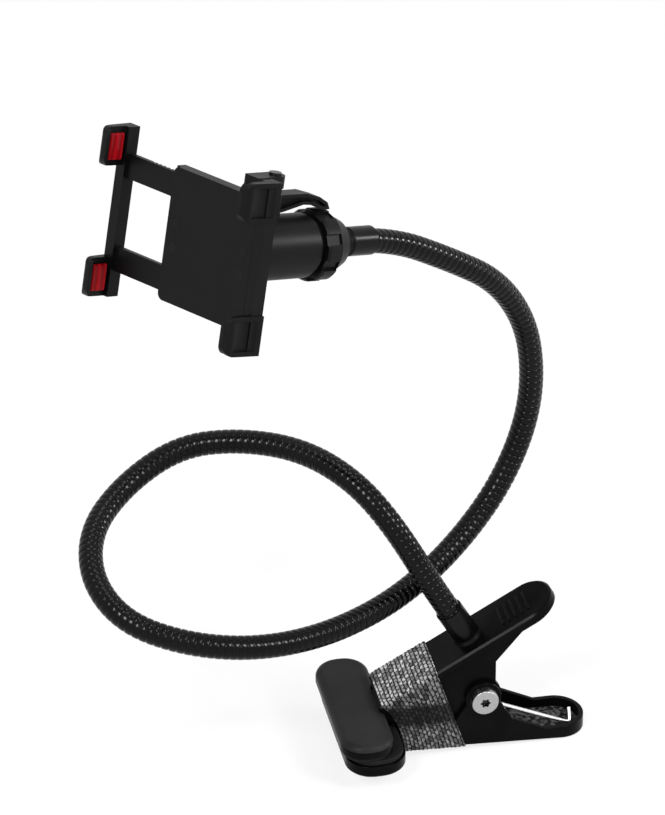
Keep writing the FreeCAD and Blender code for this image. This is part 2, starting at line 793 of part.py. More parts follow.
def make_finger_pad(mirrored, height):
    """Soft pad on the inside of one finger."""
    high = clip_right - finger_wall
    low = high - finger_pad_thick
    middle = (phone_back + finger_lip - finger_reach) / 2
    pad = block((low, middle - finger_pad_depth / 2, height - finger_pad_height / 2),
                (high, middle + finger_pad_depth / 2, height + finger_pad_height / 2))
    rim = [edge for edge in pad.Edges if abs(edge.BoundBox.XMax - low) < 0.01]
    pad = pad.makeFillet(finger_pad_edge, rim)
    if mirrored:
        pad = pad.mirror(Vec(clip_middle, 0, 0), AXIS_X)
    pad.Placement = head_place
    return pad


def make_release_lever():
    """Arched thumb lever with a raised rim, on a pin above the housing, and a pawl on its front."""
    height = lever_high - lever_low
    mid_x = lever_pin_x
    outline = [
        (lever_pin_back, lever_low), (lever_pin_back, lever_high), (lever_reach - 13, lever_high),
        (lever_reach - 6, lever_high - 0.25 * height), (lever_reach - 1.5, lever_high - 0.6 * height),
        (lever_reach, lever_low), (lever_reach - 4, lever_low), (lever_reach - 9, lever_low + 0.3 * height),
        (lever_reach - 14, lever_low + 0.36 * height), (lever_pin_back + 3, lever_low),
    ]

    def arch(points, thick):
        face = sketch([Vec(mid_x - thick / 2, y, z) for y, z in points])
        return face.extrude(Vec(thick, 0, 0))

    lever = arch(outline, lever_thick)
    recess_depth = (lever_thick - lever_web) / 2
    recess = sketch([Vec(0, y, z) for y, z in outline]).makeOffset2D(-lever_rim)
    for start in (mid_x - lever_thick / 2, mid_x + lever_thick / 2 - recess_depth):
        hollow = recess.extrude(Vec(recess_depth, 0, 0))
        hollow.translate(Vec(start, 0, 0))
        lever = lever.cut(hollow)
    knuckle = pin(lever_knuckle, Vec(lever_pin_x, lever_pin_back, lever_low), AXIS_Z, height)
    pawl_x = lever_pin_x - pawl_offset
    pawl_tip = rail_front + rail_thick + 0.2
    pawl = plan_view([
        (lever_pin_x, lever_pin_back - 3), (lever_pin_x - 3.4, lever_pin_back), (pawl_x - 2.0, 2.4),
        (pawl_x - 2.0, pawl_tip), (pawl_x + 1.4, pawl_tip), (pawl_x + 2.0, 2.4),
    ], lever_low, lever_high - 1.5)
    lever = lever.fuse([knuckle, pawl])
    lever = lever.cut(pin(lever_pin_radius + running_gap, Vec(lever_pin_x, lever_pin_back, 0), AXIS_Z, 50))
    lever.Placement = head_place
    return lever.removeSplitter()


def make_lever_pin():
    """Steel pin of the release lever, from the housing to the tab."""
    top = lever_high + tab_gap + tab_thick
    rod = pin(lever_pin_radius, Vec(lever_pin_x, lever_pin_back, 4), AXIS_Z, top - 4)
    head = pin(lever_pin_radius + 1.0, Vec(lever_pin_x, lever_pin_back, top), AXIS_Z, 1.0)
    rod = rod.fuse(head).removeSplitter()
    rod.Placement = head_place
    return rod


def make_lever_spring():
    """Small coil on the pin between the release lever and the tab, with a leg on the tab's wall."""
    inside = lever_pin_radius + running_gap + 0.1
    outside = inside + spring_wire
    low = lever_high + spring_play
    high = lever_high + tab_gap - spring_play
    points = [(inside, low), (outside, low), (outside, high), (inside, high)]
    face = sketch([Vec(radius, 0, height) for radius, height in points])
    coil = face.revolve(Vec(0, 0, 0), AXIS_Z, 360)
    coil.translate(Vec(lever_pin_x, lever_pin_back, 0))
    leg_start = Vec(lever_pin_x + outside, lever_pin_back, (low + high) / 2)
    leg = pin(spring_wire / 2, leg_start, AXIS_Y * -1, lever_pin_back - seat_gap)
    coil = coil.fuse(leg).removeSplitter()
    coil.Placement = head_place
    return coil


def build():
    """Every piece by its name."""
    pieces = {
        "upper_lever": make_upper_lever(),
        "lower_lever": make_lower_lever(),
        "upper_jaw_pad": make_jaw_pad(upper_paddle_front, upper_paddle_back, pad_face, paddle_seat,
                                      upper_paddle_corner),
        "lower_jaw_pad": make_jaw_pad(lower_paddle_front, lower_paddle_back, -paddle_seat, -pad_face,
                                      lower_paddle_corner),
        "pivot_screw": make_pivot_screw(),
        "pivot_nut": make_pivot_nut(),
        "torsion_spring": make_torsion_spring(),
        "elastic_band": make_elastic_band(),
        "arm_base_ferrule": make_base_ferrule(),
        "arm_base_screw": make_arm_screw(),
        "gooseneck": make_gooseneck(),
        "arm_end_ferrule": make_end_ferrule(),
        "ball_stud": make_ball_stud(),
        "ball_seat": make_ball_seat(),
        "lock_ring": make_lock_ring(),
        "clip_body": make_clip_body(),
        "face_plate": make_face_plate(),
        "face_screws": make_face_screws(),
        "slide_jaw": make_slide_jaw(),
        "release_lever": make_release_lever(),
        "lever_pin": make_lever_pin(),
        "lever_spring": make_lever_spring(),
    }
    for side, mirrored in (("right", False), ("left", True)):
        for level, height in zip(("upper", "lower"), finger_rows):
            pieces[f"{level}_{side}_finger_pad"] = make_finger_pad(mirrored, height)
    return pieces


os.makedirs("parts", exist_ok=True)
for name, shape in build().items():
    if not shape.isValid():
        print("not valid", name)
    shape.exportStep(f"parts/{name}.step")
    print(name, "solids", len(shape.Solids), "volume", round(shape.Volume, 1))
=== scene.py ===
"""Looks of a bed phone holder: ribbed arm, knitted band, sprung clamp, ball joint and phone clip."""
import json
import math

import bmesh
import bpy
from mathutils import Matrix, Vector

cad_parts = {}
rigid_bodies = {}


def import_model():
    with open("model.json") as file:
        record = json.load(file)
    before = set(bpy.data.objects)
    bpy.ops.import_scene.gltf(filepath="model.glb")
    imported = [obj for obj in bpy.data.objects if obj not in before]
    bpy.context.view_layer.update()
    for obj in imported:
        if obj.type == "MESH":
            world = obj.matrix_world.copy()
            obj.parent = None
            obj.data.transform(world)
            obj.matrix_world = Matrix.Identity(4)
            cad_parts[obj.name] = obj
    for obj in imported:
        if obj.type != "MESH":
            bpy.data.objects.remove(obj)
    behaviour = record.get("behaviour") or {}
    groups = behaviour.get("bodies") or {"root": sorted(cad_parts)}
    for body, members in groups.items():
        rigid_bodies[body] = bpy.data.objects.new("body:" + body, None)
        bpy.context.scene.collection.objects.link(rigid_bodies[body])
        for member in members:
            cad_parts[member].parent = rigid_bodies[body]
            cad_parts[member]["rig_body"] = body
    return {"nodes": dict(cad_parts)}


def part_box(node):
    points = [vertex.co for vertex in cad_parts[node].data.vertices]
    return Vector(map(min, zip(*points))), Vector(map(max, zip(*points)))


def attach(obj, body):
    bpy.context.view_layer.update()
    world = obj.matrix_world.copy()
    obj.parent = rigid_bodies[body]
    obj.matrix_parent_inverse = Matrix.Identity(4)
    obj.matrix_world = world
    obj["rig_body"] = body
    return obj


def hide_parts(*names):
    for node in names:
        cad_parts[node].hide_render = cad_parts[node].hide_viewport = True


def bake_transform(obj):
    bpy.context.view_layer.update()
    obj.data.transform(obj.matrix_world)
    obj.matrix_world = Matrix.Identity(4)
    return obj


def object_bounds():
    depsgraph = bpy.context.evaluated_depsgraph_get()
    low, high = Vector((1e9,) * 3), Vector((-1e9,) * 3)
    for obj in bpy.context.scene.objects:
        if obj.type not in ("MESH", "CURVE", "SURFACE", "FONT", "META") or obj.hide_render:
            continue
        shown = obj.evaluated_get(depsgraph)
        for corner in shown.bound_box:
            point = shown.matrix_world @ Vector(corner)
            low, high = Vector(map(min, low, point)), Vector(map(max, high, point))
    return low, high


bl_info = {
    "name": "Bed phone holder",
    "version": (1, 0, 0),
    "blender": (4, 5, 0),
    "location": "View3D > Sidebar > Holder",
    "description": "Dresses the phone holder's solids with a ribbed arm, a knitted band and moulded finishes",
    "category": "Object",
}

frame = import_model()
cad_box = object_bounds()
MM = 0.001

# The arm's control points in millimetres, from the foot's socket to the ball joint's ferrule.
ARM_ROUTE = (
    (44.1, 0, 39.7), (34.1, 0, 57.0), (18, 8, 87), (5, 24, 100), (-12, 44, 104), (-35, 58, 103),
    (-59, 64, 99), (-83, 56, 89), (-101, 36, 82), (-105, 12, 74), (-95, -7, 65), (-72, -17, 58),
    (-45, -19, 53), (-17, -12, 50), (11, 3, 49), (34, 18, 53), (54, 32, 62), (71, 43, 77),
    (82, 48, 100), (85, 48, 125), (81, 46, 152), (67, 38, 178), (46, 29, 196), (19.1, 20.1, 214.9),
    (2.0, 11.6, 221),
)

# One rib of the arm, as shares of the pitch along the arm and of the groove's depth below its crown.
RIB_PROFILE = (
    (0, 1), (0.05, 0.5), (0.12, 0.16), (0.22, 0.04), (0.5, 0), (0.78, 0.04), (0.88, 0.16), (0.95, 0.5),
    (1, 1),
)
ARM_SIDES = 24

# The clamp's lines in side view, in millimetres and degrees: the sloping plate and the underside of the
# lower lever. The upper paddle lies below PADDLE_TOP and in front of PADDLE_BACK. The lower handle's grain
# fades in behind the pivot, from GRAIN_START to GRAIN_FULL.
PLATE_START = 6.1
PLATE_SLOPE = 30.0
PLATE_THICK = 3.0
UNDER_DROP = 10.0
UNDER_SLOPE = 3.4
FLOOR_THICK = 1.2
PIVOT = Vector((52, 0, 9.5)) * MM
PADDLE_TOP = 8
PADDLE_BACK = 12
GRAIN_START = 4
GRAIN_FULL = 14

# The band in millimetres: its two edges, as X on the plate and X on the underside, the bow of its front edge,
# how far it stands off the plate and the underside, its corners, and the waist where its sides draw in.
BAND_FRONT = (9.2, 19.2)
BAND_BACK = (32.0, 44.8)
BAND_BOW = 2.4
BAND_OVER = 1.3
BAND_UNDER = 1.15
BAND_CORNER = 2.0
WAIST_FOOT = -1.5
WAIST_TALL = 13
PUCKER = 0.06
PUCKER_SLANT = 0.8
ROW_RELIEF = 0.1

# The band's painted shade, from none to one: darker on its sides, from SIDE_START of the way out, and at its
# waist between the levers.
SIDE_START = 0.9
SIDE_SHADE = 0.68
WAIST_SHADE = 0.5
WAIST_FADE = 0.6
DEEPEST_SHADE = 0.96

# The spring's legs in millimetres: X of the lower one's end, the upper one's end along the plate, the hook's
# reach, its bend and the wire's gap to the levers.
LOWER_LEG = 90.4
UPPER_LEG = 77
HOOK = 4.74
HOOK_BEND = 1.3
LEG_GAP = 0.1
STEPS_PER_TURN = 14

# The pivot screw in millimetres, and the shape of its recess.
HEAD_TALL = 3.6
HEAD_CROWN = 0.9
SHANK_RADIUS = 3
RECESS_DEPTH = 1.6
STAR_POINTS = 6
STAR_RELIEF = 0.16
SCREW_SIDES = 48

# The clip's turn in the row frame: yaw, then tilt, then roll. Its origin is BALL_REACH in front of the ball,
# and its fingers lie forward of FINGER_START on its own Y, in millimetres.
CLIP_YAW, CLIP_TILT, CLIP_ROLL = math.radians(-63.3), math.radians(-17.6), math.radians(-8.9)
CLIP_TURN = (Matrix.Rotation(CLIP_YAW, 3, "Z") @ Matrix.Rotation(CLIP_TILT, 3, "X")
             @ Matrix.Rotation(CLIP_ROLL, 3, "Y"))
BALL = Vector((-15, 3, 227)) * MM
BALL_REACH = 37
CLIP_START = BALL - CLIP_TURN.col[1] * BALL_REACH * MM
FINGER_START = -6.0
PAD_PITCH = 3.4

# Round edges in millimetres.
LEVER_EDGE = 0.3
JAW_PAD_EDGE = 0.4
RING_EDGE = 0.35
CLIP_EDGE = 0.4
FINGER_PAD_EDGE = 0.6
SCREW_EDGE = 0.12

# Each lamp's name, place, width and height in metres, and power in watts.
LAMPS = (
    ("left", (-1.15, -1.3, 1.75), 0.5, 0.8, 35), ("right", (1.15, -1.3, 1.75), 0.5, 0.8, 32),
    ("side", (1.95, -0.1, 0.75), 0.35, 0.35, 16), ("top", (0.2, 0.3, 2.3), 0.8, 0.8, 8),
)
LAMP_AIM = Vector((0, 0, 0.12))

# The picture's middle, in millimetres right of the origin and up, and the paper floor and white surroundings.
PICTURE_RIGHT = -8.37
PICTURE_UP = 126.3
PAPER_SIZE = 6
PAPER_GAP = 0.2
PAPER_CLEAR = 0.8
SKY_LIGHT = 0.3


def on_plate(along, height):
    """A point on the upper lever, from its own length and height in millimetres."""
    slope = math.radians(PLATE_SLOPE)
    run = along * math.cos(slope) - height * math.sin(slope)
    rise = along * math.sin(slope) + height * math.cos(slope)
    return Vector((run, 0, PLATE_START + rise)) * MM


def over_underside(x, height):
    """A point above the lower lever's underside, from its X and height in millimetres."""
    return Vector((x, 0, height - UNDER_DROP - x * math.tan(math.radians(UNDER_SLOPE)))) * MM


class ArmSettings(bpy.types.PropertyGroup):
    """Sizes and colour of the ribbed arm."""
    radius: bpy.props.FloatProperty(
        name="Radius", description="Radius over the ribs", default=5 * MM, unit="LENGTH", precision=4)
    groove: bpy.props.FloatProperty(
        name="Groove", description="Depth of the groove between two ribs", default=0.45 * MM, unit="LENGTH",
        precision=5)
    pitch: bpy.props.FloatProperty(
        name="Pitch", description="Length of one rib along the arm", default=3.0 * MM, unit="LENGTH",
        precision=5)
    coat: bpy.props.FloatVectorProperty(
        name="Coat", description="Colour of the arm's glossy coat", subtype="COLOR", size=3,
        default=(0.001, 0.001, 0.0011), min=0, max=1)


class BandSettings(bpy.types.PropertyGroup):
    """Sizes and yarn colours of the knitted band."""
    thickness: bpy.props.FloatProperty(
        name="Thickness", description="Thickness of the knit", default=0.85 * MM, unit="LENGTH", precision=5)
    width: bpy.props.FloatProperty(
        name="Width", description="Width of the flat band", default=25.5 * MM, unit="LENGTH", precision=4)
    rows: bpy.props.IntProperty(
        name="Rows", description="Rows of stitches across the band", default=15, min=6, max=30)
    drawn_in: bpy.props.FloatProperty(
        name="Drawn in", description="How far the sides draw in between the levers", default=1.5 * MM,
        unit="LENGTH", precision=5)
    light_yarn: bpy.props.FloatVectorProperty(
        name="Light yarn", description="Colour of the silver yarn", subtype="COLOR", size=3,
        default=(0.68, 0.68, 0.689), min=0, max=1)
    dark_yarn: bpy.props.FloatVectorProperty(
        name="Dark yarn", description="Colour of the black yarn", subtype="COLOR", size=3,
        default=(0.003, 0.003, 0.003), min=0, max=1)


class SpringSettings(bpy.types.PropertyGroup):
    """Sizes of the clamp's torsion spring."""
    wire: bpy.props.FloatProperty(
        name="Wire", description="Diameter of the spring wire", default=1.7 * MM, unit="LENGTH", precision=5)
    coil_radius: bpy.props.FloatProperty(
        name="Coil radius", description="Radius of the coil at the wire's middle", default=4.05 * MM,
        unit="LENGTH", precision=5)
    turns: bpy.props.IntProperty(name="Turns", description="Turns of the coil", default=7, min=2, max=9)


class FinishSettings(bpy.types.PropertyGroup):
    """Colours of the moulded and metal pieces."""
    plastic: bpy.props.FloatVectorProperty(
        name="Plastic", description="Colour of the black moulded plastic", subtype="COLOR", size=3,
        default=(0.0014, 0.0014, 0.0015), min=0, max=1)
    paddle: bpy.props.FloatVectorProperty(
        name="Paddle", description="Colour of the paddle's matte top", subtype="COLOR", size=3,
        default=(0.0155, 0.0155, 0.0158), min=0, max=1)
    rubber: bpy.props.FloatVectorProperty(
        name="Rubber", description="Colour of the jaw pads", subtype="COLOR", size=3,
        default=(0.008, 0.008, 0.0085), min=0, max=1)
    red: bpy.props.FloatVectorProperty(
        name="Red", description="Colour of the finger pads", subtype="COLOR", size=3,
        default=(0.23, 0.002, 0.005), min=0, max=1)
    steel: bpy.props.FloatVectorProperty(
        name="Steel", description="Colour of the bright steel", subtype="COLOR", size=3,
        default=(0.7, 0.7, 0.71), min=0, max=1)
    recess: bpy.props.FloatProperty(
        name="Recess", description="Radius of the pivot screw's recess", default=1.8 * MM, unit="LENGTH",
        precision=5)


class StageSettings(bpy.types.PropertyGroup):
    """Camera and light."""
    azimuth: bpy.props.FloatProperty(
        name="Azimuth", description="Camera's turn about the vertical", default=math.radians(-12),
        subtype="ANGLE")
    elevation: bpy.props.FloatProperty(
        name="Elevation", description="Camera's height above the horizon", default=math.radians(33),
        subtype="ANGLE")
    distance: bpy.props.FloatProperty(
        name="Distance", description="Distance of the camera", default=3.0, unit="LENGTH")
    tall: bpy.props.FloatProperty(
        name="Picture height", description="Height of the picture at the object", default=0.3327,
        unit="LENGTH", precision=4)


def scaled(colour, share):
    """A colour with all its channels multiplied by a share."""
    return tuple(channel * share for channel in colour)


def new_material(name):
    """A new material and its Principled shader."""
    material = bpy.data.materials.new(name)
    material.use_nodes = True
    shader = material.node_tree.nodes["Principled BSDF"]
    return material, shader


def object_noise(material, scale, detail=4.0, stretch=(1, 1, 1)):
    """Noise on Object coordinates, stretched along the row's axes."""
    nodes, links = material.node_tree.nodes, material.node_tree.links
    place = nodes.new("ShaderNodeTexCoord")
    mapping = nodes.new("ShaderNodeMapping")
    mapping.inputs["Scale"].default_value = stretch
    noise = nodes.new("ShaderNodeTexNoise")
    noise.inputs["Scale"].default_value = scale
    noise.inputs["Detail"].default_value = detail
    links.new(place.outputs["Object"], mapping.inputs["Vector"])
    links.new(mapping.outputs["Vector"], noise.inputs["Vector"])
    return noise


def ramp(material, source, low, high, start=0.35, end=0.65):
    """A colour ramp between two colours, driven by a texture."""
    nodes, links = material.node_tree.nodes, material.node_tree.links
    steps = nodes.new("ShaderNodeValToRGB")
    steps.color_ramp.elements[0].position = start
    steps.color_ramp.elements[1].position = end
    steps.color_ramp.elements[0].color = (*low, 1)
    steps.color_ramp.elements[1].color = (*high, 1)
    links.new(source.outputs["Fac"], steps.inputs["Fac"])
    return steps


def add_bump(material, shader, source, strength, distance):
    """Bump from a texture on a shader's normal."""
    nodes, links = material.node_tree.nodes, material.node_tree.links
    bump = nodes.new("ShaderNodeBump")
    bump.inputs["Strength"].default_value = strength
    bump.inputs["Distance"].default_value = distance
    links.new(source.outputs["Fac"], bump.inputs["Height"])
    links.new(bump.outputs["Normal"], shader.inputs["Normal"])


def moulded(name, colour, roughness, shine=0.09, grain=1400, bump=0.12):
    """Moulded plastic or rubber: slightly uneven colour and gloss, and a fine grain."""
    material, shader = new_material(name)
    shader.inputs["Specular IOR Level"].default_value = shine
    links = material.node_tree.links
    cloud = object_noise(material, scale=60)
    pale = tuple(min(1, c * 1.3 + 0.001) for c in colour)
    links.new(ramp(material, cloud, colour, pale).outputs["Color"], shader.inputs["Base Color"])
    gloss = ramp(material, cloud, (roughness - 0.03,) * 3, (roughness + 0.04,) * 3)
    links.new(gloss.outputs["Color"], shader.inputs["Roughness"])
    add_bump(material, shader, object_noise(material, grain, detail=2), bump, distance=0.0002)
    return material


def ribbed_rubber(name, colour, pitch):
    """Satin rubber of the finger pads, with soft ribs up the clip, and painted shade darkening the red in the
    grooves between the ribs.
    """
    material, shader = new_material(name)
    nodes, links = material.node_tree.nodes, material.node_tree.links
    shader.inputs["Specular IOR Level"].default_value = 0.06
    shader.inputs["Roughness"].default_value = 0.36
    place = nodes.new("ShaderNodeTexCoord")
    turn = nodes.new("ShaderNodeMapping")
    turn.inputs["Rotation"].default_value = CLIP_TURN.transposed().to_euler()
    ribs = nodes.new("ShaderNodeTexWave")
    ribs.bands_direction = "Y"
    ribs.inputs["Scale"].default_value = math.pi / 10 / pitch
    links.new(place.outputs["Object"], turn.inputs["Vector"])
    links.new(turn.outputs["Vector"], ribs.inputs["Vector"])
    # Painted shade: the red darkens to three fifths in the rib grooves, where the bump sinks.
    red = ramp(material, ribs, scaled(colour, 0.6), colour, start=0.1, end=0.8)
    links.new(red.outputs["Color"], shader.inputs["Base Color"])
    add_bump(material, shader, ribs, strength=0.7, distance=0.0005)
    return material


def bright_steel(name, colour, wear=0.25):
    """Plated steel with fine turning marks."""
    material, shader = new_material(name)
    links = material.node_tree.links
    shader.inputs["Metallic"].default_value = 1
    marks = object_noise(material, scale=900, detail=3, stretch=(1, 0.08, 1))
    shade = ramp(material, marks, scaled(colour, 1 - wear), colour)
    gloss = ramp(material, marks, (0.24,) * 3, (0.36,) * 3)
    links.new(shade.outputs["Color"], shader.inputs["Base Color"])
    links.new(gloss.outputs["Color"], shader.inputs["Roughness"])
    add_bump(material, shader, marks, strength=0.08, distance=0.0001)
    return material


def handle_grain(name, colour, shine):
    """Coarse mottled grain of the lower handle's floor, which fades out towards the pivot."""
    material, shader = new_material(name)
    nodes, links = material.node_tree.nodes, material.node_tree.links
    shader.inputs["Specular IOR Level"].default_value = shine
    shader.inputs["Roughness"].default_value = 0.6
    mottle = object_noise(material, scale=520, detail=6)
    fleck = (0.09, 0.09, 0.091)
    grey = ramp(material, mottle, scaled(colour, 1.5), fleck, start=0.44, end=0.62)
    parts = nodes.new("ShaderNodeSeparateXYZ")
    place = nodes.new("ShaderNodeTexCoord")
    reach = nodes.new("ShaderNodeMapRange")
    reach.inputs["From Min"].default_value = PIVOT.x + GRAIN_START * MM
    reach.inputs["From Max"].default_value = PIVOT.x + GRAIN_FULL * MM
    blend = nodes.new("ShaderNodeMix")
    blend.data_type = "RGBA"
    blend.inputs["A"].default_value = (*colour, 1)
    links.new(place.outputs["Object"], parts.inputs["Vector"])
    links.new(parts.outputs["X"], reach.inputs["Value"])
    links.new(reach.outputs["Result"], blend.inputs["Factor"])
    links.new(grey.outputs["Color"], blend.inputs["B"])
    links.new(blend.outputs["Result"], shader.inputs["Base Color"])
    add_bump(material, shader, mottle, strength=0.7, distance=0.0008)
    return material


def heathered_knit(name, dark, light, around, width, rows):
    """Knit of silver and black yarn: rows of stitches round the band, each stitch its own grey. A per-point
    attribute darkens it towards the black yarn, as painted shade on the band's sides and waist.
    """
    material, shader = new_material(name)
    nodes, links = material.node_tree.nodes, material.node_tree.links
    lay = nodes.new("ShaderNodeUVMap")
    lay.uv_map = "UVMap"
    size = nodes.new("ShaderNodeMapping")
    size.inputs["Scale"].default_value = (around / width * rows, rows, 1)
    links.new(lay.outputs["UV"], size.inputs["Vector"])
    tangle = nodes.new("ShaderNodeTexNoise")
    tangle.inputs["Scale"].default_value = 2.1
    tangle.inputs["Detail"].default_value = 3
    links.new(size.outputs["Vector"], tangle.inputs["Vector"])
    sway = nodes.new("ShaderNodeVectorMath")
    sway.operation = "MULTIPLY_ADD"
    sway.inputs[1].default_value = (2.2, 0.75, 0)
    links.new(tangle.outputs["Color"], sway.inputs[0])
    links.new(size.outputs["Vector"], sway.inputs[2])
    stitch = nodes.new("ShaderNodeTexBrick")
    stitch.inputs["Scale"].default_value = 1
    stitch.inputs["Brick Width"].default_value = 1.5
    stitch.inputs["Row Height"].default_value = 1
    stitch.inputs["Mortar Size"].default_value = 0.27
    stitch.inputs["Mortar Smooth"].default_value = 0.8
    stitch.inputs["Bias"].default_value = -0.1
    stitch.inputs["Color1"].default_value = (*light, 1)
    stitch.inputs["Color2"].default_value = (*scaled(light, 0.07), 1)
    stitch.inputs["Mortar"].default_value = (*dark, 1)
    links.new(sway.outputs["Vector"], stitch.inputs["Vector"])
    # Painted shade: a per-point attribute darkens the knit towards the black yarn on the band's sides and at
    # its waist.
    painted_shade = nodes.new("ShaderNodeAttribute")
    painted_shade.attribute_name = "painted_shade"
    shade = nodes.new("ShaderNodeMix")
    shade.data_type = "RGBA"
    shade.inputs["B"].default_value = (*dark, 1)
    links.new(painted_shade.outputs["Fac"], shade.inputs["Factor"])
    links.new(stitch.outputs["Color"], shade.inputs["A"])
    links.new(shade.outputs["Result"], shader.inputs["Base Color"])
    shader.inputs["Roughness"].default_value = 0.55
    shader.inputs["Specular IOR Level"].default_value = 0.08
    bump = nodes.new("ShaderNodeBump")
    bump.invert = True
    bump.inputs["Strength"].default_value = 0.8
    bump.inputs["Distance"].default_value = 0.0004
    links.new(stitch.outputs["Fac"], bump.inputs["Height"])
    links.new(bump.outputs["Normal"], shader.inputs["Normal"])
    return material


def show_in_scene(name, mesh, material):
    """A mesh as an object at the origin, in smooth shade with one material."""
    piece = bpy.data.objects.new(name, mesh)
    bpy.context.scene.collection.objects.link(piece)
    mesh.materials.append(material)
    mesh.shade_smooth()
    return piece


def mesh_of(shape, name):
    """A mesh from an object as its modifiers leave it. The object is removed."""
    bpy.context.view_layer.update()
    seen = bpy.context.evaluated_depsgraph_get()
    mesh = bpy.data.meshes.new_from_object(shape.evaluated_get(seen))
    mesh.name = name
    bpy.data.objects.remove(shape)
    return mesh


def route_curve(name, points, bevel=0.0):
    """A smooth NURBS curve on control points in metres."""
    data = bpy.data.curves.new(name, "CURVE")
    data.dimensions = "3D"
    data.resolution_u = 24
    data.bevel_depth = bevel
    data.bevel_resolution = 5
    data.use_fill_caps = True
    spline = data.splines.new("NURBS")
    spline.points.add(len(points) - 1)
    for knot, point in zip(spline.points, points):
        knot.co = (*point, 1)
    spline.order_u = 3
    spline.use_endpoint_u = True
    curve = bpy.data.objects.new(name, data)
    bpy.context.scene.collection.objects.link(curve)
    return curve


def paint(material, *nodes):
    """Puts one material on CAD nodes."""
    for node in nodes:
        solid = frame["nodes"][node]
        solid.data.materials.clear()
        solid.data.materials.append(material)


def on_finger(edge):
    """Whether an edge is a sharp outer one of the clip's fingers, which stand forward of its bar."""
    forward = all((vert.co - CLIP_START).dot(CLIP_TURN.col[1]) < FINGER_START * MM for vert in edge.verts)
    return forward and edge.is_convex and edge.calc_face_angle(0) > math.radians(35)


def soften(material, edge, *nodes, accent=None, chosen=None, soft=None):
    """Moulded copies of CAD nodes with small round edges, in millimetres. Chosen faces take the accent's
    finish, and soft edges are rounded first by twice as much."""
    for node in nodes:
        solid = frame["nodes"][node]
        bm = bmesh.new()
        bm.from_mesh(solid.data)
        bmesh.ops.remove_doubles(bm, verts=bm.verts, dist=0.002 * MM)
        bmesh.ops.dissolve_limit(bm, angle_limit=math.radians(1), verts=bm.verts, edges=bm.edges)
        if soft:
            sharp = [line for line in bm.edges if soft(line)]
            bmesh.ops.bevel(bm, geom=sharp, offset=2 * edge * MM, offset_type="OFFSET", affect="EDGES",
                            segments=4, profile=0.5, material=-1, clamp_overlap=True)
        if chosen:
            for face in bm.faces:
                face.material_index = int(chosen(face.normal, face.calc_center_median()))
        mesh = bpy.data.meshes.new(node + "_moulding")
        bm.to_mesh(mesh)
        bm.free()
        piece = show_in_scene(node + "_moulding", mesh, material)
        if accent:
            mesh.materials.append(accent)
        rounding = piece.modifiers.new("Round edges", "BEVEL")
        rounding.width = edge * MM
        rounding.segments = 3
        rounding.limit_method = "ANGLE"
        rounding.angle_limit = math.radians(32)
        shading = piece.modifiers.new("Even shading", "WEIGHTED_NORMAL")
        shading.weight = 80
        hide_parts(node)
        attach(piece, solid["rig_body"])


class HOLDER_OT_ribbed_arm(bpy.types.Operator):
    """Bendable arm with a rib for each turn of its casing"""
    bl_idname = "holder.ribbed_arm"
    bl_label = "Ribbed arm"

    def execute(self, context):
        arm = context.scene.holder_arm
        route = route_curve("arm_route", [Vector(point) * MM for point in ARM_ROUTE])
        length = route.data.splines[0].calc_length()
        count = round(length / arm.pitch)
        step = length / count
        bm = bmesh.new()
        line = [bm.verts.new((along * step, 0, arm.radius - depth * arm.groove))
                for along, depth in RIB_PROFILE]
        edges = [bm.edges.new(pair) for pair in zip(line, line[1:])]
        bmesh.ops.spin(bm, geom=line + edges, cent=(0, 0, 0), axis=(1, 0, 0), angle=math.tau, steps=ARM_SIDES,
                       use_merge=True)
        bmesh.ops.recalc_face_normals(bm, faces=bm.faces)
        mesh = bpy.data.meshes.new("rib")
        bm.to_mesh(mesh)
        bm.free()
        rib = bpy.data.objects.new("rib", mesh)
        context.scene.collection.objects.link(rib)
        row = rib.modifiers.new("Row", "ARRAY")
        row.count = count
        row.use_relative_offset = False
        row.use_constant_offset = True
        row.constant_offset_displace = (step, 0, 0)
        row.use_merge_vertices = True
        row.merge_threshold = 0.02 * MM
        bend = rib.modifiers.new("Bend", "CURVE")
        bend.object = route
        bend.deform_axis = "POS_X"
        ribbed = mesh_of(rib, "ribbed_arm")
        bpy.data.objects.remove(route)
        bm = bmesh.new()
        bm.from_mesh(ribbed)
        bmesh.ops.holes_fill(bm, edges=[edge for edge in bm.edges if edge.is_boundary], sides=0)
        bm.to_mesh(ribbed)
        bm.free()
        coat = moulded("arm_coat", arm.coat, roughness=0.15, shine=0.135, grain=900, bump=0.0)
        piece = show_in_scene("ribbed_arm", ribbed, coat)
        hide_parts("gooseneck")
        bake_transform(piece)
        return {"FINISHED"}


